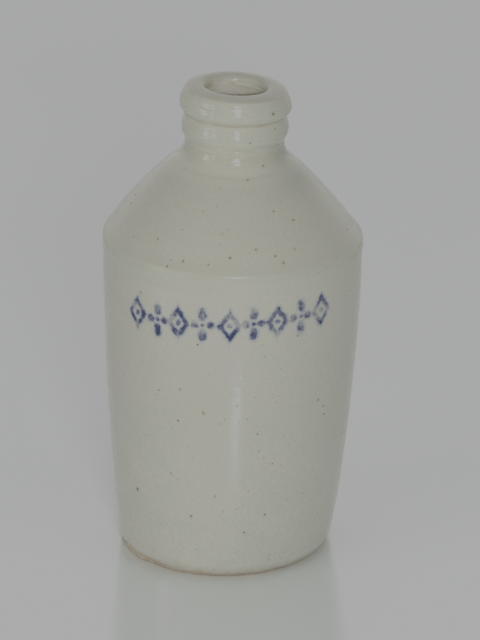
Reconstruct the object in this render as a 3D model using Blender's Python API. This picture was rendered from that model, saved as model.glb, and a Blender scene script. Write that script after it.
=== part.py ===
"""An empty, hand-thrown stoneware bottle with an open mouth, as one closed solid.

Its outline is spun about the bottle's own axis, which sways and leans a little, and the foot is level.
The origin is the middle of the flat foot, and +Z is up. Sizes are in millimetres until the mesh is made.
"""

import math

import bmesh
import bpy
from mathutils import Matrix, Vector
from mathutils.geometry import interpolate_bezier

MILLIMETRE = 0.001

SEGMENTS = 64
LEAN = math.radians(1.3)
# Turning points of the axis's sway: height, and distance towards +X
SWAY = ((0.0, -0.5), (22.0, 0.0), (76.0, 0.3), (104.0, 0.1), (114.0, -0.4), (124.0, -0.4), (138.0, 0.0))
# The lip dips towards +X by this slope, which comes in between the two heights
LIP_TILT = 0.04
TILT_SPAN = (144.0, 148.0)

# Outside, as radius and height above the foot
FOOT_RADIUS = 31.4
HEEL = (34.4, 4.6)
BODY_TOP = (40.8, 97.7)
CREASE = (41.2, 102.5)
SHOULDER = (41.1, 104.3)
CONE_FOOT = (38.1, 108.7)
CONE_TOP = (19.4, 129.2)
NECK = (15.6, 136.0)
COLLAR = (16.8, 140.3)
GROOVE = (16.0, 144.0)
LIP = (17.6, 147.7)
BEVEL_TOP = (16.0, 152.4)
RIM = (11.6, 153.7)

# Inside
MOUTH_RADIUS = 9.3
MOUTH_EDGE = 151.9
BORE_END = 131.5
WALL = 5.4
FLOOR = 7.0
FLOOR_RADIUS = 22.0
FLOOR_FILLET = 9.0

GLAZE_COLOUR = (0.60, 0.59, 0.53, 1.0)
GLAZE_ROUGHNESS = 0.22


def clear_scene():
    for item in list(bpy.data.objects):
        bpy.data.objects.remove(item, do_unlink=True)


def trace(start, stretches):
    """Joins Bezier stretches end to end, each given as two handles, its end and its number of steps."""
    points = [Vector((start[0], 0.0, start[1]))]
    for near_handle, far_handle, end, steps in stretches:
        near, far, last = (Vector((radius, 0.0, height)) for radius, height in (near_handle, far_handle, end))
        points += interpolate_bezier(points[-1], near, far, last, steps + 1)[1:]
    return points


def outside():
    """The outline from the edge of the foot up to the top of the rim."""
    return trace((FOOT_RADIUS, 0.0), (
        ((FOOT_RADIUS + 1.6, 0.3), (HEEL[0] - 0.5, 2.2), HEEL, 3),
        ((37.9, 25.6), (41.3, 78.0), BODY_TOP, 9),
        ((BODY_TOP[0], 99.5), (CREASE[0], 101.0), CREASE, 2),
        ((CREASE[0], 103.2), (SHOULDER[0] + 0.1, 103.7), SHOULDER, 1),
        ((SHOULDER[0], 105.4), (39.9, 106.4), CONE_FOOT, 4),
        ((32.1, 117.1), (21.9, 128.3), CONE_TOP, 7),
        ((17.0, 131.1), (NECK[0], 133.2), NECK, 4),
        ((NECK[0], 137.8), (COLLAR[0], 138.0), COLLAR, 4),
        ((COLLAR[0], 141.8), (GROOVE[0] + 0.1, 142.8), GROOVE, 3),
        ((GROOVE[0], 145.5), (LIP[0], 145.8), LIP, 4),
        ((LIP[0], 149.2), (16.7, 150.9), BEVEL_TOP, 3),
        ((15.4, 153.4), (13.2, RIM[1]), RIM, 3),
    ))


def inside():
    """The outline from the top of the rim down the bore to the middle of the floor."""
    shoulder_radius = SHOULDER[0] - WALL
    return trace(RIM, (
        ((10.8, RIM[1]), (MOUTH_RADIUS + 0.4, 153.3), (MOUTH_RADIUS, MOUTH_EDGE), 4),
        ((MOUTH_RADIUS, 147.0), (MOUTH_RADIUS, 138.0), (MOUTH_RADIUS, BORE_END), 4),
        ((MOUTH_RADIUS, 128.2), (12.6, 126.6), (15.6, 124.4), 3),
        ((22.0, 119.6), (29.0, 112.6), (shoulder_radius - 3.2, 105.0), 4),
        ((shoulder_radius - 1.0, 102.4), (shoulder_radius, 100.6), (shoulder_radius, 98.0), 3),
        ((shoulder_radius, 78.0), (32.4, 34.0), (FLOOR_RADIUS + 7.0, FLOOR + FLOOR_FILLET), 6),
        ((FLOOR_RADIUS + 5.8, FLOOR + 3.0), (FLOOR_RADIUS + 4.0, FLOOR), (FLOOR_RADIUS, FLOOR), 4),
    ))


def spin_outline(points):
    """Spins an outline that starts and ends on the axis into one closed mesh."""
    mesh = bmesh.new()
    vertices = [mesh.verts.new(point * MILLIMETRE) for point in points]
    edges = [mesh.edges.new(pair) for pair in zip(vertices, vertices[1:])]
    bmesh.ops.spin(
        mesh,
        geom=vertices + edges,
        cent=(0.0, 0.0, 0.0),
        axis=(0.0, 0.0, 1.0),
        angle=math.tau,
        steps=SEGMENTS,
        use_merge=True,
    )
    bmesh.ops.remove_doubles(mesh, verts=mesh.verts, dist=0.001 * MILLIMETRE)
    bmesh.ops.recalc_face_normals(mesh, faces=mesh.faces)
    return mesh


def sway(height):
    """How far the axis has wandered towards +X at a height, eased from one turning point to the next."""
    for (low, start), (high, end) in zip(SWAY, SWAY[1:]):
        if height <= high:
            share = (height - low) / (high - low)
            return start + (end - start) * share * share * (3.0 - 2.0 * share)
    return SWAY[-1][1]


def stand_as_thrown(mesh):
    """Sways and tips the bottle towards +X, and its lip a little more. The heel takes up the lean."""
    lifts = []
    tilt_start, tilt_end = TILT_SPAN
    for vertex in mesh.verts:
        height = vertex.co.z / MILLIMETRE
        vertex.co.x += sway(height) * MILLIMETRE
        tilt_share = min(1.0, max(0.0, (height - tilt_start) / (tilt_end - tilt_start)))
        vertex.co.z -= vertex.co.x * LIP_TILT * tilt_share
        share = max(0.0, 1.0 - vertex.co.z / (HEEL[1] * MILLIMETRE))
        lifts.append(vertex.co.x * math.sin(LEAN) * share)
    bmesh.ops.rotate(mesh, verts=mesh.verts, cent=(0.0, 0.0, 0.0), matrix=Matrix.Rotation(LEAN, 3, "Y"))
    for vertex, lift in zip(mesh.verts, lifts):
        vertex.co.z += lift


def glazed_stoneware():
    material = bpy.data.materials.new("stoneware")
    material.use_nodes = True
    shader = material.node_tree.nodes["Principled BSDF"]
    shader.inputs["Base Color"].default_value = GLAZE_COLOUR
    shader.inputs["Roughness"].default_value = GLAZE_ROUGHNESS
    shader.inputs["Metallic"].default_value = 0.0
    return material


def build_bottle():
    outline = [Vector((0.0, 0.0, 0.0))] + outside() + inside()[1:] + [Vector((0.0, 0.0, FLOOR))]
    shape = spin_outline(outline)
    stand_as_thrown(shape)
    data = bpy.data.meshes.new("bottle")
    shape.to_mesh(data)
    shape.free()
    data.shade_smooth()
    data.materials.append(glazed_stoneware())
    bottle = bpy.data.objects.new("bottle", data)
    bpy.context.scene.collection.objects.link(bottle)
    return bottle


clear_scene()
build_bottle()
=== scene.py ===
"""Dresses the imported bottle: hand-thrown stoneware with relief, a speckled glaze and cobalt marks.

Sizes are in millimetres unless a comment says otherwise, and an outline's points are given as radius
and height above the foot. Angles run round the bottle's axis from the front, which faces -Y, and grow
towards +X.
"""

import math

import bpy
import numpy as np
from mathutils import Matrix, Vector, noise
from mathutils.geometry import interpolate_bezier


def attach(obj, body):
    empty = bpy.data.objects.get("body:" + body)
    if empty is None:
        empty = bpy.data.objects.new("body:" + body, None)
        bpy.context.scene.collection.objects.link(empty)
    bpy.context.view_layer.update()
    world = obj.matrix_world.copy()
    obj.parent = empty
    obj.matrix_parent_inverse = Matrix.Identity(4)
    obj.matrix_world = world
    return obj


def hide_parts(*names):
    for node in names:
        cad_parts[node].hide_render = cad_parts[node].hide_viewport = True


def colour(red, green, blue):
    """A scene colour from the 0 to 255 values that a picture shows, by the sRGB curve."""
    shown = np.array([red, green, blue]) / 255.0
    linear = np.where(shown <= 0.04045, shown / 12.92, ((shown + 0.055) / 1.055) ** 2.4)
    return (*linear.tolist(), 1.0)


MILLIMETRE = 0.001

# The mesh: vertices round the axis, and the usual distance between them along the outline
SEGMENTS = 240
STEP = 0.75

LEAN = math.radians(1.3)
# Turning points of the axis's sway: height, and distance towards +X
SWAY = ((0.0, -0.5), (22.0, 0.0), (76.0, 0.3), (104.0, 0.1), (114.0, -0.4), (124.0, -0.4), (138.0, 0.0))
# The lip dips towards +X by this slope, which comes in between the two heights
LIP_TILT = 0.04
TILT_SPAN = (144.0, 148.0)

# Outside
FOOT_RADIUS = 31.4
HEEL = (34.4, 4.6)
BODY_TOP = (40.8, 97.7)
CREASE = (41.2, 102.5)
SHOULDER = (41.1, 104.3)
CONE_FOOT = (38.1, 108.7)
CONE_TOP = (19.4, 129.2)
NECK = (15.6, 136.0)
COLLAR = (16.8, 140.3)
GROOVE = (16.0, 144.0)
LIP = (17.6, 147.7)
BEVEL_TOP = (16.0, 152.4)
RIM = (11.6, 153.7)

# Inside
MOUTH_RADIUS = 9.3
MOUTH_EDGE = 151.9
BORE_END = 131.5
WALL = 5.4
FLOOR = 7.0
FLOOR_RADIUS = 22.0
FLOOR_FILLET = 9.0

# Throwing rings: their depth on the neck and on the body, the heights between which they deepen, and
# by how many turns they drift, over what height
RING_SPACING = 2.9
RING_DEPTH = 0.03
BODY_RING_DEPTH = 0.012
RINGS_DEEPEN = (100.0, 112.0)
RING_DRIFT = 0.6
RING_DRIFT_SPAN = 7.3

# Noise on the mesh: the size of its lumps, and a seed
LUMPS = (26.0, 1)
FOOT_EDGE = (5.0, 2)
# Values that vary over the mesh: the middle one, how far they stray from it, the lumps' size, and a seed
BARE_HEIGHT = (1.2, 0.8, 6.0, 3)
HEEL_PATCHES = (0.7, 0.6, 9.0, 4)
TAN_PATCHES = (0.55, 0.6, 7.0, 5)
STAIN_PATCHES = (0.8, 0.6, 3.0, 6)

LUMP_DEPTH = 0.1
# Bands are given as height, reach up and down, and amount. In this one the lumps lie lower, so that
# none stands out past the widest place
LUMPS_LOWERED = ((CREASE[1], 7.0, 1.0),)
# The body is drawn in below the crease by this much, most at the front, between the heights
CREASE_DEPTH = 0.03
CREASE_START = (96.5, 100.0)
CREASE_END = (102.3, 103.0)
# Clay squeezed out at the foot: first and last angle in degrees, and how far it reaches
FLANGES = ((-76.0, -50.0, 0.55), (-31.0, -24.0, 0.2))
FLANGE_EASE = 3.0
FLANGE_TOP = (0.84, 1.56)
FOOT_RAGGEDNESS = 0.25
RAGGED_TOP = (0.5, 3.5)

# Bare clay at the foot reaches this much higher on one side, given as first and last angle and ease in
# degrees. The glaze ends between these shares of its height
BARE_SIDE_RISE = 1.2
BARE_SIDE = (-74.0, -30.0, 8.0)
BARE_FADE = (0.6, 1.2)

# Glaze thinned to tan: bands under the lip and at the foot of the neck, the heel and the rim
TAN_BANDS = ((GROOVE[1] + 1.1, 0.6, 0.85), (134.0, 1.6, 0.25))
TAN_HEEL = 0.7
TAN_HEEL_FADE = (1.0, 4.0)
TAN_RIM = 0.35
TAN_RIM_START = (151.8, 153.4)

# Creases painted paler, which is painted light that cancels the shade falling in them: at the foot of
# the neck, below the collar and under the lip
CREASE_LIGHT_BANDS = ((129.6, 2.2, 0.22), (138.1, 1.0, 0.22), (145.4, 1.2, 0.2))

# Painted shade on the neck: a little all round, and more on the right side, where less light falls. It
# comes in and then fades between heights
NECK_SHADE_ROUND = 0.15
NECK_SHADE_RIGHT = 1.3
NECK_SHADE_RIGHT_FADE = 1.05
NECK_SHADE_START = (118.0, 132.0)
NECK_SHADE_END = (133.0, 140.0)
SHADED_SIDE = (48.0, 110.0, 25.0)

# Stains in the corners of the mouth: their amount, band, and sides as angles, ease and share
STAIN_AMOUNT = 0.6
STAIN_BAND = ((MOUTH_EDGE - 0.6, 1.6, 1.0),)
STAINED_SIDES = ((-125.0, -50.0, 25.0, 1.0), (70.0, 115.0, 25.0, 0.7))
# How far below the rim the inside begins
INSIDE_START = (0.5, 3.0)

# Amounts stored on the mesh, of wear and of painted light and shade, with their values at the middles of
# the foot and of the floor
WEAR_AND_PAINTED_LIGHT = {
    "bare": (1.0, 0.0),
    "warm": (0.0, 0.0),
    "crease_light": (0.0, 0.0),
    "neck_shade": (0.0, 0.0),
    "within": (0.0, 1.0),
    "stain": (0.0, 0.0),
}

# Cobalt marks: a row of stamped lozenges and rosettes round the front, which rises to the right
MARK_RADIUS = 40.5
MARK_HEIGHT = 89.2
MARK_RISE = 0.045
MARK_PITCH = 7.8
MARK_COUNT = 9
MARK_START = -36.2
MARK_JITTER = (0.8, 1.0)
# Lozenges: how steeply distance grows sideways and upwards from the middle, the size, and half the
# line's width
LOZENGE_SLOPES = (0.82, 0.57)
LOZENGE_SIZE = 2.4
LOZENGE_LINE = 0.74
LOZENGE_DOT = 0.85
# Petals: distance from the rosette's middle, half width and half height
TALL_PETAL = (3.3, 1.25, 2.0)
WIDE_PETAL = (2.5, 1.35, 1.1)
ROSETTE_DOT = 0.7
# How far the marks' edges waver, and the distances from them at which the bleed and the ink start and
# reach their full amounts
MARK_WOBBLE = 1.9
BLEED_EDGE = (1.1, -0.2)
BLEED_AMOUNT = 0.55
INK_EDGE = (0.25, -0.45)
INK_AMOUNT = 0.95
# Distance added beyond the two ends of the row, so that nothing is stamped there
PAST_ENDS = 20.0

# Iron specks and pinholes that stand out: angle in degrees, height and radius
PITS = (
    (-83, 118, 0.6), (-78, 116, 0.5), (-92, 114, 0.4), (-23, 108, 0.5), (-11, 108, 0.4),
    (-30, 106, 0.4), (-1, 110, 0.5), (-5, 116, 0.3), (32, 111, 0.4), (21, 110, 0.4),
    (24, 108, 0.6), (12, 112, 0.4), (42, 149, 0.7), (49, 143, 0.3), (16, 140, 0.3),
    (33, 132, 0.4), (13, 129, 0.4), (-44, 95, 0.5), (-12, 59, 0.5), (-34, 64, 0.3),
    (-23, 66, 0.4), (-24, 55, 0.4), (44, 60, 0.4), (48, 57, 0.4), (49, 54, 0.4),
    (13, 52, 0.3), (14, 46, 0.3), (21, 41, 0.3), (-28, 36, 0.4), (-50, 26, 0.6),
    (-6, 30, 0.4), (10, 32, 0.3), (-18, 22, 0.5), (9, 17, 0.4), (19, 23, 0.3),
    (24, 6, 0.3), (38, 118, 0.3), (27, 121, 0.3), (-40, 112, 0.4), (-15, 82, 0.3),
    (30, 84, 0.3), (3, 62, 0.3), (75, 110, 0.4), (98, 92, 0.3), (112, 40, 0.5),
    (131, 66, 0.4), (146, 107, 0.6), (150, 113, 0.4), (163, 24, 0.4), (170, 83, 0.3),
    (182, 58, 0.5), (190, 111, 0.4), (204, 31, 0.3), (215, 77, 0.6), (228, 118, 0.4),
    (236, 14, 0.4), (241, 50, 0.3), (252, 99, 0.3), (262, 71, 0.5), (205, 148, 0.5),
)
# In pit radii: the greatest distance that is told apart, and where a pit and the stain round it fade out
FAR_FROM_PITS = 100.0
PIT_EDGE = (0.2, 0.95)
PIT_RAGGEDNESS = 2.4
HALO_EDGE = (0.8, 2.4)
HALO_AMOUNT = 0.3

# Small specks, in metres: the size of the cells that may hold one, their radii, the share of each that
# is solid, the share of cells that hold one, and how strongly they show
SPECK_SPACING = 0.0026
SPECK_RADII = (0.00014, 0.00036)
SPECK_CORE = 0.55
SPECK_SHARE = 0.75
SPECK_AMOUNT = 0.3

# Where the upper glaze, dipped second, ends, how far that line wanders, and the darker turn above it
# over the shoulder's rounding, where the glaze lies thicker and shade is painted to offset the light
# that the rounding catches
DIP_LINE = 102.7
DIP_WANDER = 1.6
DIP_EDGE = (DIP_LINE - 0.5, DIP_LINE + 0.4)
DIP_AMOUNT = 0.6
TURN_SHADE_EDGE = (DIP_LINE + 0.8, DIP_LINE + 6.5)
TURN_SHADE_AMOUNT = 0.6
# The glaze grows paler from the upper of these heights to the lower
LOW_SPAN = (8.0, 75.0)
# How strongly the other colours show where their patches, their wear or their painted light and shade
# are fullest
CLOUD_AMOUNT = 0.4
GRAIN_AMOUNT = 0.4
NECK_SHADE_AMOUNT = 0.5
INSIDE_LIGHT_AMOUNT = 0.85
GLAZE_END_AMOUNT = 2.0
# Turning marks in the mouth: the span of their noise that is eased over, and the two amounts
INSIDE_RINGS = (0.35, 0.7, 0.0, 0.22)

# Noise in the materials: the size of its lumps in metres, its detail and its roughness
DIP_NOISE = (0.012, 3.0, 0.5)
MARK_NOISE = (0.0018, 4.0, 0.6)
PIT_NOISE = (0.0005, 3.0, 0.5)
PEEL_NOISE = (0.0011, 2.0, 0.5)
SWELL_NOISE = (0.0048, 2.0, 0.5)
FLOOR_NOISE = (0.25, 3.0, 0.5)
# Turning marks run round the bottle, so their noise is stretched sideways and packed upwards. The size
# of its lumps is in millimetres before that
TURNING_NOISE = (1.0, 2.0, 0.5)
TURNING_SCALE = (0.03, 0.85, 1.0)

# Patches of noise: the same three, the span of its values that is eased over, and the two results
CLOUDS = (0.014, 3.0, 0.5, 0.3, 0.7, 0.0, 1.0)
GRAIN = (0.0009, 3.0, 0.6, 0.3, 0.72, 0.0, 1.0)
TAN_SHARE = (0.003, 3.0, 0.5, 0.3, 0.65, 0.2, 1.0)
INK_SHARE = (0.004, 3.0, 0.6, 0.34, 0.62, 0.25, 1.0)
PIT_SHARE = (0.007, 2.0, 0.5, 0.35, 0.65, 0.45, 0.95)
CLAY_GRAIN = (0.0012, 4.0, 0.65, 0.3, 0.7, 0.0, 1.0)
GLOSS = (0.006, 3.0, 0.5, 0.3, 0.7, 0.09, 0.15)

# Roughness: added to the gloss's own between the first heights, taken off again between the next, added
# inside, and that of bare clay
DULL_AT_CREASE = 0.11
DULL_START = (84.0, 100.0)
DULL_END = (104.0, 110.0)
DULL_INSIDE = 0.06
CLAY_ROUGHNESS = 0.8

# Fine relief: its depth in metres, and how much of that each kind has. Turning marks deepen from the
# first to the second amount between the heights
RELIEF_DEPTH = 0.00012
PEEL_RELIEF = 0.10
SWELL_RELIEF = 0.35
CLAY_RELIEF = 0.5
PIT_RELIEF = 0.5
TURNED_SPAN = (128.0, 136.0)
TURNED_RELIEF = (0.1, 2.2)

GLAZE_PALE = colour(207, 206, 196)
GLAZE_LOW = colour(214, 213, 203)
GLAZE_OLIVE = colour(204, 204, 191)
# Darker over the shoulder's rounding: thicker glaze, and painted shade that offsets the light the
# rounding catches
GLAZE_TURN_SHADE = colour(199, 199, 184)
# Painted shade on the neck, most on its right side
GLAZE_NECK_SHADE = colour(181, 182, 172)
# Painted light in the creases
GLAZE_CREASE_LIGHT = colour(236, 234, 222)
GLAZE_GRAIN = colour(194, 193, 183)
GLAZE_TAN = colour(188, 172, 144)
# The inside of the mouth, painted lighter to stand in for the light that falls into it
GLAZE_INSIDE_LIGHT = colour(240, 238, 227)
STAIN = colour(170, 148, 112)
COBALT = colour(52, 62, 112)
COBALT_PALE = colour(138, 152, 182)
SPECK = colour(78, 73, 62)
PIT_HALO = colour(190, 182, 150)
GLAZE_END = colour(166, 147, 120)
# Bare clay's pale tan, painted lighter to offset the shade at the foot's edge
CLAY_LIGHTENED = colour(222, 212, 194)
CLAY_DARK = colour(200, 184, 160)

# The floor that the bottle stands on, which reaches this many metres from its middle
STAGE_REACH = 6.0
STAGE_PALE = colour(236, 240, 239)
STAGE_GREY = colour(233, 237, 236)
STAGE_ROUGHNESS = 0.15
STAGE_IOR = 2.4

WARM_WHITE = (1.0, 0.998, 0.88)
GREENISH_WHITE = (0.98, 1.0, 0.88)
FLASH_WHITE = (0.965, 0.97, 1.0)
COOL_WHITE = (0.985, 0.985, 1.0)
# Lamps: azimuth and elevation in degrees, distance, width and height in metres, watts, tint, and whether
# the gloss shows it. It shows only the flash and the panes of a window. Azimuth 0 is the camera's side
LAMPS = {
    "left_softbox": (-58.0, 12.0, 1.8, 1.4, 1.4, 3.45, WARM_WHITE, False),
    "right_softbox": (58.0, 12.0, 1.8, 1.4, 1.4, 3.1, GREENISH_WHITE, False),
    "flash_fill": (5.5, 21.6, 0.84, 0.13, 0.025, 0.68, FLASH_WHITE, False),
    "wide_pane": (-65.0, 9.0, 1.5, 0.32, 0.38, 1.0, COOL_WHITE, True),
    "narrow_pane": (-47.0, 10.0, 1.5, 0.10, 0.42, 0.42, COOL_WHITE, True),
    "flash": (5.5, 21.6, 0.84, 0.13, 0.025, 0.86, COOL_WHITE, True),
}
# Where the lamps point, in metres above the floor
AIM_HEIGHT = 0.08
# The surround grows from the first strength to the second, over this span of a direction's part along +Y
SURROUND_SPAN = (0.3, 0.9)
SURROUND_STRENGTH = (0.25, 0.63)

# Camera, at the photo's viewing point
CAMERA_PLACE = (4.69, -1153.7, 532.4)
CAMERA_PITCH = math.radians(21.633)
LENS = 219.5
SENSOR_WIDTH = 36.0

# Scene brightness and the brightness shown for it, on the view's curve for all three colours
FILM_RESPONSE = ((0.37, 0.37), (0.44, 0.41), (1.0, 0.425))
ALL_COLOURS = 3


def smoothstep(low, high, value):
    share = np.clip((value - low) / (high - low), 0.0, 1.0)
    return share * share * (3.0 - 2.0 * share)


def trace(start, stretches):
    """Joins Bezier stretches end to end, each given as two handles, its end and how coarse it is."""
    points = [Vector((start[0], 0.0, start[1]))]
    for *corners, coarseness in stretches:
        near, far, last = (Vector((radius, 0.0, height)) for radius, height in corners)
        steps = max(3, math.ceil((last - points[-1]).length / (STEP * coarseness)))
        points += interpolate_bezier(points[-1], near, far, last, steps + 1)[1:]
    return np.array([(point.x, point.z) for point in points])


def outside():
    """The outline from the edge of the foot up to the top of the rim."""
    return trace((FOOT_RADIUS, 0.0), (
        ((FOOT_RADIUS + 1.2, 0.3), (HEEL[0] - 0.5, 2.2), HEEL, 0.3),
        ((37.9, 25.6), (41.3, 78.0), BODY_TOP, 1.0),
        ((BODY_TOP[0], 99.5), (CREASE[0], 101.0), CREASE, 0.4),
        ((CREASE[0], 103.2), (SHOULDER[0] + 0.1, 103.7), SHOULDER, 0.4),
        ((SHOULDER[0], 105.4), (39.9, 106.4), CONE_FOOT, 0.6),
        ((32.1, 117.1), (21.7, 127.9), CONE_TOP, 0.8),
        ((17.7, 130.2), (NECK[0], 132.6), NECK, 0.6),
        ((NECK[0], 137.8), (COLLAR[0], 138.0), COLLAR, 0.5),
        ((COLLAR[0], 141.8), (GROOVE[0] + 0.1, 142.8), GROOVE, 0.5),
        ((GROOVE[0], 145.5), (LIP[0], 145.8), LIP, 0.5),
        ((LIP[0], 148.7), (16.4, 151.5), BEVEL_TOP, 0.5),
        ((15.65, 153.2), (13.2, RIM[1]), RIM, 0.5),
    ))


def inside():
    """The outline from the top of the rim down the bore to the edge of the flat floor."""
    shoulder_radius = SHOULDER[0] - WALL
    return trace(RIM, (
        ((10.8, RIM[1]), (MOUTH_RADIUS + 0.4, 153.3), (MOUTH_RADIUS, MOUTH_EDGE), 0.4),
        ((MOUTH_RADIUS, 147.0), (MOUTH_RADIUS, 138.0), (MOUTH_RADIUS, BORE_END), 1.2),
        ((MOUTH_RADIUS, 128.2), (12.6, 126.6), (15.6, 124.4), 1.2),
        ((22.0, 119.6), (29.0, 112.6), (shoulder_radius - 3.2, 105.0), 3.0),
        ((shoulder_radius - 1.0, 102.4), (shoulder_radius, 100.6), (shoulder_radius, 98.0), 3.0),
        ((shoulder_radius, 78.0), (32.4, 34.0), (FLOOR_RADIUS + 7.0, FLOOR + FLOOR_FILLET), 5.0),
        ((FLOOR_RADIUS + 5.8, FLOOR + 3.0), (FLOOR_RADIUS + 4.0, FLOOR), (FLOOR_RADIUS, FLOOR), 3.0),
    ))


def sway(height):
    """How far the axis has wandered towards +X, eased from one turning point to the next."""
    total = np.full_like(height, SWAY[0][1])
    for (low, start), (high, end) in zip(SWAY, SWAY[1:]):
        total += (end - start) * smoothstep(low, high, height)
    return total


def field(points, size, seed):
    """Smooth noise from -1 to 1 at each point, with lumps of about the given size."""
    shift = Vector((seed * 17.3, seed * 5.1, seed * 9.7))
    return np.array([noise.noise(Vector(point) / size + shift) for point in points])


def varied(points, middle, spread, size, seed):
    """Values that stray smoothly from a middle one."""
    return middle + spread * field(points, size, seed)


def between_angles(angle, start, end, ease):
    """1 between two angles in degrees, easing to 0 outside them."""
    middle, half = (start + end) / 2.0, (end - start) / 2.0
    away = np.abs((np.degrees(angle) - middle + 180.0) % 360.0 - 180.0)
    return 1.0 - smoothstep(half - ease, half + ease, away)


def bands(height, rows):
    """The sum of soft bands, each given as its height, its reach up and down, and its amount."""
    return sum(amount * np.exp(-(((height - middle) / reach) ** 2)) for middle, reach, amount in rows)


def throwing_rings(angle, height):
    """Depth of the spiral grooves that fingers left, deepest on the neck and cone."""
    turn = height / RING_SPACING + angle / math.tau + RING_DRIFT * np.sin(height / RING_DRIFT_SPAN)
    depth = BODY_RING_DEPTH + (RING_DEPTH - BODY_RING_DEPTH) * smoothstep(*RINGS_DEEPEN, height)
    return depth * (0.5 + 0.5 * np.sin(math.tau * turn))


def round_axis(angle, radius, height):
    """Places round an upright axis, before the bottle sways and leans."""
    return np.stack([radius * np.sin(angle), -radius * np.cos(angle), height], 1)


def outside_relief(angle, radius, height):
    """How far the thrown surface lies outside its plain outline at each point."""
    points = round_axis(angle, radius, height)
    lumps = LUMP_DEPTH * (field(points, *LUMPS) - bands(height, LUMPS_LOWERED))
    drawn_in = smoothstep(*CREASE_START, height) - smoothstep(*CREASE_END, height)
    crease = CREASE_DEPTH * drawn_in * (0.5 + 0.5 * np.cos(angle))
    squeezed = sum(reach * between_angles(angle, *side, FLANGE_EASE) for *side, reach in FLANGES)
    flange = squeezed * (1.0 - smoothstep(*FLANGE_TOP, height))
    ragged = FOOT_RAGGEDNESS * field(points, *FOOT_EDGE) * (1.0 - smoothstep(*RAGGED_TOP, height))
    return lumps + flange + ragged - crease - throwing_rings(angle, height)


def stand_as_thrown(points):
    """Sways and tips places towards +X, and the lip a little more. The heel takes up the lean."""
    x, y, height = points.T
    x = x + sway(height)
    tilt_start, tilt_end = TILT_SPAN
    tilt_share = np.clip((height - tilt_start) / (tilt_end - tilt_start), 0.0, 1.0)
    height = height - x * LIP_TILT * tilt_share
    heel_share = np.clip(1.0 - height / HEEL[1], 0.0, 1.0)
    tipped_x = x * math.cos(LEAN) + height * math.sin(LEAN)
    tipped_height = height * math.cos(LEAN) - x * math.sin(LEAN) * (1.0 - heel_share)
    return np.stack([tipped_x, y, tipped_height], 1)


def build_bottle():
    outer, inner = outside(), inside()[1:]
    outline = np.vstack([outer, inner])
    radius, height = (np.repeat(column, SEGMENTS) for column in outline.T)
    angle = np.tile(np.arange(SEGMENTS) * math.tau / SEGMENTS, len(outline))
    outer_count = len(outer) * SEGMENTS
    wall = slice(outer_count)
    radius[wall] += outside_relief(angle[wall], radius[wall], height[wall])
    middles = np.array([(0.0, 0.0, 0.0), (0.0, 0.0, FLOOR)])
    points = stand_as_thrown(np.vstack([round_axis(angle, radius, height), middles]))

    data = bpy.data.meshes.new("bottle_surface")
    data.from_pydata(points * MILLIMETRE, [], ring_faces(len(outline)))
    add_surface_map(data, np.append(angle, (0.0, 0.0)), np.append(height, (0.0, FLOOR)))
    add_wear_and_painted_light(data, angle, radius, height, outer_count)
    data.shade_smooth()
    bottle = bpy.data.objects.new("stoneware_bottle", data)
    bpy.context.scene.collection.objects.link(bottle)
    return bottle


def ring_faces(ring_count):
    """Faces between the rings of vertices, and fans to the middles of the foot and floor after them."""
    faces = []
    for ring in range(ring_count - 1):
        for segment in range(SEGMENTS):
            following = (segment + 1) % SEGMENTS
            low, high = ring * SEGMENTS, (ring + 1) * SEGMENTS
            faces.append((low + segment, low + following, high + following, high + segment))
    foot_middle = ring_count * SEGMENTS
    floor_middle = foot_middle + 1
    last_ring = foot_middle - SEGMENTS
    for segment in range(SEGMENTS):
        following = (segment + 1) % SEGMENTS
        faces.append((foot_middle, following, segment))
        faces.append((floor_middle, last_ring + segment, last_ring + following))
    return faces


def add_surface_map(data, angle, height):
    """A UV map: distance round the front at the marks' radius, and height above the foot."""
    around = (angle + math.pi) % math.tau - math.pi
    layer = data.uv_layers.new(name="surface")
    corners = np.empty(len(data.loops), dtype=np.int32)
    data.loops.foreach_get("vertex_index", corners)
    sides = np.empty(len(data.polygons), dtype=np.int32)
    data.polygons.foreach_get("loop_total", sides)
    turn = around[corners]
    face_of_corner = np.repeat(np.arange(len(sides)), sides)
    lowest = np.full(len(sides), np.inf)
    np.minimum.at(lowest, face_of_corner, turn)
    highest = np.full(len(sides), -np.inf)
    np.maximum.at(highest, face_of_corner, turn)
    crosses_back = (highest - lowest > math.pi)[face_of_corner]
    turn = np.where(crosses_back & (turn < 0.0), turn + math.tau, turn)
    places = np.stack([turn * MARK_RADIUS, height[corners]], 1)
    layer.data.foreach_set("uv", places.astype(np.float32).ravel())


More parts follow.
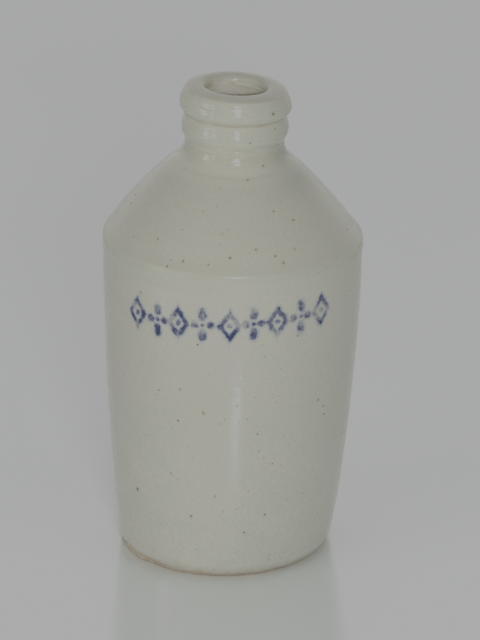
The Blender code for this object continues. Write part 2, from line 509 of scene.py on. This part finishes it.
def add_wear_and_painted_light(data, angle, radius, height, outer_count):
    """Stores at each vertex the amounts of wear and of painted light and shade: bare clay, glaze
    thinned to tan, painted light in the creases, painted shade on the neck, the inside, which is painted
    lighter, and stains in the mouth. All run from 0 to 1 but the neck's painted shade, which may pass 1.
    """
    points = round_axis(angle, radius, height)
    is_outside = np.arange(len(height)) < outer_count

    edge = varied(points, *BARE_HEIGHT) + BARE_SIDE_RISE * between_angles(angle, *BARE_SIDE)
    fade_start, fade_end = BARE_FADE
    bare = is_outside * (1.0 - smoothstep(edge * fade_start, edge * fade_end, height))

    heel = TAN_HEEL * (1.0 - smoothstep(*TAN_HEEL_FADE, height)) * varied(points, *HEEL_PATCHES)
    rim = TAN_RIM * smoothstep(*TAN_RIM_START, height)
    tan_places = is_outside * bands(height, TAN_BANDS) + rim
    warm = tan_places * varied(points, *TAN_PATCHES) + is_outside * heel

    # Painted shade on the neck, a little all round and more on the right side
    shaded_side = between_angles(angle, *SHADED_SIDE)
    fade = smoothstep(*NECK_SHADE_END, height)
    painted_shade = NECK_SHADE_ROUND * (1.0 - fade) + shaded_side * (NECK_SHADE_RIGHT - NECK_SHADE_RIGHT_FADE * fade)

    corners = sum(share * between_angles(angle, *side) for *side, share in STAINED_SIDES)
    stain = STAIN_AMOUNT * corners * bands(height, STAIN_BAND) * varied(points, *STAIN_PATCHES)

    amounts = {
        "bare": bare,
        "warm": np.clip(warm, 0.0, 1.0),
        # Painted light in the creases, which cancels their shade
        "crease_light": is_outside * np.clip(bands(height, CREASE_LIGHT_BANDS), 0.0, 1.0),
        "neck_shade": is_outside * smoothstep(*NECK_SHADE_START, height) * painted_shade,
        "within": ~is_outside * smoothstep(*INSIDE_START, RIM[1] - height),
        "stain": ~is_outside * np.clip(stain, 0.0, 1.0),
    }
    for name, at_middles in WEAR_AND_PAINTED_LIGHT.items():
        layer = data.attributes.new(name, "FLOAT", "POINT")
        layer.data.foreach_set("value", np.append(amounts[name], at_middles).astype(np.float32))


class Graph:
    """Short ways to add and join shader nodes."""

    def __init__(self, name):
        self.material = bpy.data.materials.new(name)
        self.material.use_nodes = True
        self.tree = self.material.node_tree
        self.shader = self.tree.nodes["Principled BSDF"]

    def add(self, kind, inputs=(), output=0, **settings):
        """Adds a node, sets its settings and inputs, given by name or number, and gives one output."""
        node = self.tree.nodes.new(kind)
        for name, value in settings.items():
            setattr(node, name, value)
        for name, value in dict(inputs).items():
            self.set(node.inputs[name], value)
        return node.outputs[output]

    def set(self, socket, value):
        if isinstance(value, bpy.types.NodeSocket):
            self.tree.links.new(value, socket)
        else:
            socket.default_value = value

    def shade(self, name, value):
        """Sets one input of the material's shader."""
        self.set(self.shader.inputs[name], value)

    def math(self, operation, *values):
        return self.add("ShaderNodeMath", enumerate(values), operation=operation)

    def plus(self, first, second):
        return self.math("ADD", first, second)

    def minus(self, first, second):
        return self.math("SUBTRACT", first, second)

    def times(self, first, second):
        return self.math("MULTIPLY", first, second)

    def centred(self, value, width):
        """Makes a value that runs from 0 to 1 run over a width with 0 in its middle."""
        return self.times(self.minus(value, 0.5), width)

    def ramp(self, value, low, high, to_low=0.0, to_high=1.0):
        """Eases from to_low to to_high as value goes from low to high."""
        inputs = {
            "Value": value,
            "From Min": low,
            "From Max": high,
            "To Min": to_low,
            "To Max": to_high,
        }
        return self.add("ShaderNodeMapRange", inputs, interpolation_type="SMOOTHSTEP")

    def noise(self, vector, size, detail, roughness):
        """Noise whose lumps are about the given size."""
        inputs = {"Vector": vector, "Scale": 1.0 / size, "Detail": detail, "Roughness": roughness}
        return self.add("ShaderNodeTexNoise", inputs, "Fac")

    def patches(self, vector, size, detail, roughness, *span):
        """Noise eased over a span of its values."""
        return self.ramp(self.noise(vector, size, detail, roughness), *span)

    def mix(self, factor, first, second):
        """A colour between two others."""
        return self.add("ShaderNodeMix", {0: factor, 6: first, 7: second}, 2, data_type="RGBA")

    def between(self, factor, first, second):
        """A number between two others."""
        return self.add("ShaderNodeMix", {0: factor, 2: first, 3: second}, 0, data_type="FLOAT")

    def part(self, vector, letter):
        return self.add("ShaderNodeSeparateXYZ", {"Vector": vector}, letter)

    def channel(self, value, name):
        return self.add("ShaderNodeSeparateColor", {"Color": value}, name)


def surface_places(angle, height):
    """Places on the finished outside, in metres, at angles in radians and heights."""
    outline = outside()
    radius = np.interp(height, outline[:, 1], outline[:, 0])
    radius = radius + outside_relief(angle, radius, height)
    return stand_as_thrown(round_axis(angle, radius, height)) * MILLIMETRE


def nearest_pit(graph, place):
    """Distance from the nearest of the pits, where 1 is that pit's edge."""
    angle, height, radius = np.array(PITS).T
    nearest = FAR_FROM_PITS
    for centre, size in zip(surface_places(np.radians(angle), height), radius * MILLIMETRE):
        ends = {0: place, 1: centre.tolist()}
        away = graph.add("ShaderNodeVectorMath", ends, "Value", operation="DISTANCE")
        nearest = graph.math("MINIMUM", graph.math("DIVIDE", away, float(size)), nearest)
    return nearest


def petal(graph, across, up, half_width, half_height):
    """About the distance from an ellipse's edge."""
    scaled_x = graph.math("POWER", graph.math("DIVIDE", across, half_width), 2.0)
    scaled_y = graph.math("POWER", graph.math("DIVIDE", up, half_height), 2.0)
    share = graph.math("SQRT", graph.plus(scaled_x, scaled_y))
    return graph.times(graph.minus(share, 1.0), min(half_width, half_height))


def mark_distance(graph, surface):
    """Distance from the edge of the nearest stamped mark, less than 0 inside it."""
    across, up = graph.part(surface, "X"), graph.part(surface, "Y")
    steps = graph.math("DIVIDE", graph.minus(across, MARK_START), MARK_PITCH)
    number = graph.math("FLOOR", steps)
    jitter = graph.add("ShaderNodeTexWhiteNoise", {"W": number}, "Color", noise_dimensions="1D")
    jitter_x = graph.centred(graph.channel(jitter, "Red"), MARK_JITTER[0])
    jitter_y = graph.centred(graph.channel(jitter, "Green"), MARK_JITTER[1])
    local_x = graph.plus(graph.centred(graph.math("FRACT", steps), MARK_PITCH), jitter_x)
    row = graph.plus(graph.times(across, MARK_RISE), MARK_HEIGHT)
    local_y = graph.plus(graph.minus(up, row), jitter_y)
    side_x = graph.math("ABSOLUTE", local_x)
    side_y = graph.math("ABSOLUTE", local_y)
    squares = graph.plus(graph.math("POWER", local_x, 2.0), graph.math("POWER", local_y, 2.0))
    centre = graph.math("SQRT", squares)

    sideways, upwards = LOZENGE_SLOPES
    lozenge = graph.plus(graph.times(side_x, sideways), graph.times(side_y, upwards))
    off_line = graph.math("ABSOLUTE", graph.minus(lozenge, LOZENGE_SIZE))
    line = graph.minus(off_line, LOZENGE_LINE)
    lozenge_mark = graph.math("MINIMUM", line, graph.minus(centre, LOZENGE_DOT))

    away, *half_sizes = TALL_PETAL
    tall = petal(graph, side_x, graph.minus(side_y, away), *half_sizes)
    away, *half_sizes = WIDE_PETAL
    wide = petal(graph, graph.minus(side_x, away), side_y, *half_sizes)
    petals = graph.math("MINIMUM", tall, wide)
    rosette = graph.math("MINIMUM", petals, graph.minus(centre, ROSETTE_DOT))

    odd = graph.math("ABSOLUTE", graph.math("MODULO", number, 2.0))
    is_odd = graph.math("COMPARE", odd, 1.0, 0.25)
    distance = graph.between(is_odd, lozenge_mark, rosette)
    before = graph.math("LESS_THAN", number, -0.5)
    after = graph.math("GREATER_THAN", number, MARK_COUNT - 0.5)
    return graph.plus(distance, graph.times(graph.plus(before, after), PAST_ENDS))


def small_specks(graph, place):
    """1 on scattered round specks, easing to 0 at their edges. Only a share of the cells has one."""
    inputs = {"Vector": place, "Scale": 1.0 / SPECK_SPACING}
    distance = graph.add("ShaderNodeTexVoronoi", inputs, "Distance")
    picked = graph.add("ShaderNodeTexVoronoi", inputs, "Color")
    smallest, largest = (radius / SPECK_SPACING for radius in SPECK_RADII)
    radius = graph.ramp(graph.channel(picked, "Green"), 0.0, 1.0, smallest, largest)
    spot = graph.ramp(distance, graph.times(radius, SPECK_CORE), radius, 1.0, 0.0)
    return graph.times(spot, graph.math("LESS_THAN", graph.channel(picked, "Red"), SPECK_SHARE))


def dipped_glaze(graph, place, height):
    """The glaze's colour: paler low down, more olive above the dip line, darker over the shoulder's
    rounding just above it, partly as painted shade, with clouds and grain.
    """
    clouds = graph.patches(place, *CLOUDS)
    wander = graph.centred(graph.noise(place, *DIP_NOISE), DIP_WANDER)
    above = graph.ramp(graph.plus(height, wander), *DIP_EDGE, 0.0, DIP_AMOUNT)
    glaze = graph.mix(graph.ramp(height, *LOW_SPAN, 1.0, 0.0), GLAZE_PALE, GLAZE_LOW)
    glaze = graph.mix(graph.plus(above, graph.times(clouds, CLOUD_AMOUNT)), glaze, GLAZE_OLIVE)
    # Darker over the shoulder's rounding: thicker glaze, and painted shade that offsets the light the
    # rounding catches
    turn = graph.minus(above, graph.ramp(height, *TURN_SHADE_EDGE, 0.0, DIP_AMOUNT))
    glaze = graph.mix(graph.times(turn, TURN_SHADE_AMOUNT), glaze, GLAZE_TURN_SHADE)
    return graph.mix(graph.times(graph.patches(place, *GRAIN), GRAIN_AMOUNT), glaze, GLAZE_GRAIN)


def worn_glaze_and_painted_light(graph, place, glaze, wear_and_light, turning):
    """The glaze with painted shade on the neck, painted light in the creases and inside the mouth, and
    where it's thinned to tan or stained.
    """
    # Painted shade on the neck, most on its right side
    glaze = graph.mix(graph.times(wear_and_light["neck_shade"], NECK_SHADE_AMOUNT), glaze, GLAZE_NECK_SHADE)
    # Painted light in the creases, which cancels their shade
    glaze = graph.mix(wear_and_light["crease_light"], glaze, GLAZE_CREASE_LIGHT)
    tan = graph.times(wear_and_light["warm"], graph.patches(place, *TAN_SHARE))
    glaze = graph.mix(tan, glaze, GLAZE_TAN)
    # The inside of the mouth, painted lighter to stand in for the light that falls into it
    glaze = graph.mix(graph.times(wear_and_light["within"], INSIDE_LIGHT_AMOUNT), glaze, GLAZE_INSIDE_LIGHT)
    rings = graph.times(wear_and_light["within"], graph.ramp(turning, *INSIDE_RINGS))
    glaze = graph.mix(rings, glaze, STAIN)
    return graph.mix(wear_and_light["stain"], glaze, STAIN)


def stamped_glaze(graph, place, surface, glaze):
    """The glaze with the cobalt marks, which bleed into it and are paler in patches."""
    wobble = graph.centred(graph.noise(place, *MARK_NOISE), MARK_WOBBLE)
    distance = graph.plus(mark_distance(graph, surface), wobble)
    strength = graph.patches(place, *INK_SHARE)
    bleed = graph.times(graph.ramp(distance, *BLEED_EDGE, 0.0, BLEED_AMOUNT), strength)
    ink = graph.times(graph.ramp(distance, *INK_EDGE, 0.0, INK_AMOUNT), strength)
    glaze = graph.mix(bleed, glaze, COBALT_PALE)
    return graph.mix(ink, glaze, COBALT)


def specked_glaze(graph, place, glaze, pits, pit):
    """The glaze with small specks, and with the pits and the stains round them."""
    glaze = graph.mix(graph.ramp(pits, *HALO_EDGE, HALO_AMOUNT, 0.0), glaze, PIT_HALO)
    glaze = graph.mix(graph.times(small_specks(graph, place), SPECK_AMOUNT), glaze, SPECK)
    return graph.mix(graph.times(pit, graph.patches(place, *PIT_SHARE)), glaze, SPECK)


def surface_roughness(graph, place, height, wear_and_light):
    """Low on the glaze, with soft patches, duller at the crease and inside, and high on bare clay."""
    gloss = graph.patches(place, *GLOSS)
    up_to_crease = graph.ramp(height, *DULL_START, 0.0, DULL_AT_CREASE)
    past_crease = graph.ramp(height, *DULL_END, 0.0, DULL_AT_CREASE)
    gloss = graph.plus(gloss, graph.minus(up_to_crease, past_crease))
    gloss = graph.plus(gloss, graph.times(wear_and_light["within"], DULL_INSIDE))
    return graph.between(wear_and_light["bare"], gloss, CLAY_ROUGHNESS)


def fine_relief(graph, place, height, turning, clay_bumps, pit):
    """Bumps of the glaze's peel and swell, turning marks and clay grain, with the pits sunk in."""
    relief = graph.times(graph.noise(place, *PEEL_NOISE), PEEL_RELIEF)
    relief = graph.plus(relief, graph.times(graph.noise(place, *SWELL_NOISE), SWELL_RELIEF))
    turned = graph.ramp(height, *TURNED_SPAN, *TURNED_RELIEF)
    relief = graph.plus(relief, graph.times(turning, turned))
    relief = graph.plus(relief, graph.times(clay_bumps, CLAY_RELIEF))
    relief = graph.minus(relief, graph.times(pit, PIT_RELIEF))
    return graph.add("ShaderNodeBump", {"Height": relief, "Distance": RELIEF_DEPTH, "Strength": 1.0})


def stoneware_glaze():
    """The bottle's one material: specked, stamped and worn glaze with painted light and shade in places,
    and bare clay at the foot.
    """
    graph = Graph("stoneware_glaze")
    place = graph.add("ShaderNodeTexCoord", (), "Object")
    surface = graph.add("ShaderNodeUVMap", (), uv_map="surface")
    height = graph.part(surface, "Y")
    wear_and_light = {name: graph.add("ShaderNodeAttribute", (), "Fac", attribute_name=name) for name in WEAR_AND_PAINTED_LIGHT}
    stretched = graph.add("ShaderNodeMapping", {"Vector": surface, "Scale": TURNING_SCALE})
    turning = graph.noise(stretched, *TURNING_NOISE)
    pits = nearest_pit(graph, place)
    ragged = graph.centred(graph.noise(place, *PIT_NOISE), PIT_RAGGEDNESS)
    pit = graph.ramp(graph.plus(pits, ragged), *PIT_EDGE, 1.0, 0.0)
    clay_grain = graph.patches(place, *CLAY_GRAIN)

    glaze = dipped_glaze(graph, place, height)
    glaze = worn_glaze_and_painted_light(graph, place, glaze, wear_and_light, turning)
    glaze = stamped_glaze(graph, place, surface, glaze)
    glaze = specked_glaze(graph, place, glaze, pits, pit)

    bare = wear_and_light["bare"]
    # Bare clay's pale tan is painted lighter to offset the shade at the foot's edge
    surface_colour = graph.mix(bare, glaze, graph.mix(clay_grain, CLAY_LIGHTENED, CLAY_DARK))
    # This is greatest halfway, along the line where the glaze ends
    glaze_end = graph.times(graph.times(bare, graph.minus(1.0, bare)), GLAZE_END_AMOUNT)
    graph.shade("Base Color", graph.mix(glaze_end, surface_colour, GLAZE_END))
    graph.shade("Roughness", surface_roughness(graph, place, height, wear_and_light))
    clay_bumps = graph.times(clay_grain, bare)
    graph.shade("Normal", fine_relief(graph, place, height, turning, clay_bumps, pit))
    return graph.material


def floor_material():
    graph = Graph("floor")
    place = graph.add("ShaderNodeTexCoord", (), "Object")
    graph.shade("Base Color", graph.mix(graph.noise(place, *FLOOR_NOISE), STAGE_PALE, STAGE_GREY))
    graph.shade("Roughness", STAGE_ROUGHNESS)
    graph.shade("IOR", STAGE_IOR)
    return graph.material


def build_floor():
    data = bpy.data.meshes.new("floor")
    sides = ((-1, -1), (1, -1), (1, 1), (-1, 1))
    corners = [(x * STAGE_REACH, y * STAGE_REACH, 0.0) for x, y in sides]
    data.from_pydata(corners, [], [(0, 1, 2, 3)])
    data.materials.append(floor_material())
    floor = bpy.data.objects.new("floor", data)
    bpy.context.scene.collection.objects.link(floor)


def add_lamp(name, azimuth, elevation, distance, width, height, power, tint, is_in_gloss):
    """An area light that faces the middle of the bottle. Azimuth grows towards +X."""
    light = bpy.data.lights.new(name, "AREA")
    light.shape = "RECTANGLE"
    light.size = width
    light.size_y = height
    light.energy = power
    light.color = tint
    lamp = bpy.data.objects.new(name, light)
    turn, rise = math.radians(azimuth), math.radians(elevation)
    across = math.cos(rise)
    away = Vector((math.sin(turn) * across, -math.cos(turn) * across, math.sin(rise)))
    lamp.location = Vector((0.0, 0.0, AIM_HEIGHT)) + away * distance
    lamp.rotation_euler = away.to_track_quat("Z", "Y").to_euler()
    lamp.visible_camera = False
    lamp.visible_glossy = is_in_gloss
    bpy.context.scene.collection.objects.link(lamp)


def light_scene():
    """Lamps, and a soft white surround that is brighter behind the bottle, as a pale wall would be."""
    world = bpy.data.worlds.new("soft_surround")
    world.use_nodes = True
    tree = world.node_tree
    direction = tree.nodes.new("ShaderNodeTexCoord").outputs["Generated"]
    parts = tree.nodes.new("ShaderNodeSeparateXYZ")
    tree.links.new(direction, parts.inputs["Vector"])
    strength = tree.nodes.new("ShaderNodeMapRange")
    strength.interpolation_type = "SMOOTHSTEP"
    names = ("From Min", "From Max", "To Min", "To Max")
    for name, value in zip(names, (*SURROUND_SPAN, *SURROUND_STRENGTH)):
        strength.inputs[name].default_value = value
    tree.links.new(parts.outputs["Y"], strength.inputs["Value"])
    background = tree.nodes["Background"]
    tree.links.new(strength.outputs["Result"], background.inputs["Strength"])
    background.inputs["Color"].default_value = (1.0, 1.0, 1.0, 1.0)
    bpy.context.scene.world = world
    for name, settings in LAMPS.items():
        add_lamp(name, *settings)


def place_camera():
    camera = bpy.data.cameras.new("camera")
    camera.lens = LENS
    camera.sensor_width = SENSOR_WIDTH
    view = bpy.data.objects.new("camera", camera)
    view.location = Vector(CAMERA_PLACE) * MILLIMETRE
    view.rotation_euler = (math.pi / 2.0 - CAMERA_PITCH, 0.0, 0.0)
    bpy.context.scene.collection.objects.link(view)
    bpy.context.scene.camera = view


def expose_film():
    """A plain view whose highlights level off at a pale grey, as they do in the photograph."""
    view = bpy.context.scene.view_settings
    view.view_transform = "Standard"
    view.use_curve_mapping = True
    response = view.curve_mapping
    response.extend = "HORIZONTAL"
    curve = response.curves[ALL_COLOURS]
    curve.points[-1].location = FILM_RESPONSE[-1]
    for place in FILM_RESPONSE[:-1]:
        curve.points.new(*place)
    for point in curve.points:
        point.handle_type = "VECTOR"
    response.update()


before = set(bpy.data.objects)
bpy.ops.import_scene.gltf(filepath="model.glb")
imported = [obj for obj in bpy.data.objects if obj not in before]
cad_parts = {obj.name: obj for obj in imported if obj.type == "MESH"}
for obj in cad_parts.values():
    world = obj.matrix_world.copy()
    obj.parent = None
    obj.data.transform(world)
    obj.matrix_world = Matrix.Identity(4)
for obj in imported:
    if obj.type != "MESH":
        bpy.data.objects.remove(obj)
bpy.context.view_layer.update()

bottle = build_bottle()
bottle.data.materials.append(stoneware_glaze())
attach(bottle, "root")
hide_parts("bottle")

build_floor()
light_scene()
place_camera()
expose_film()
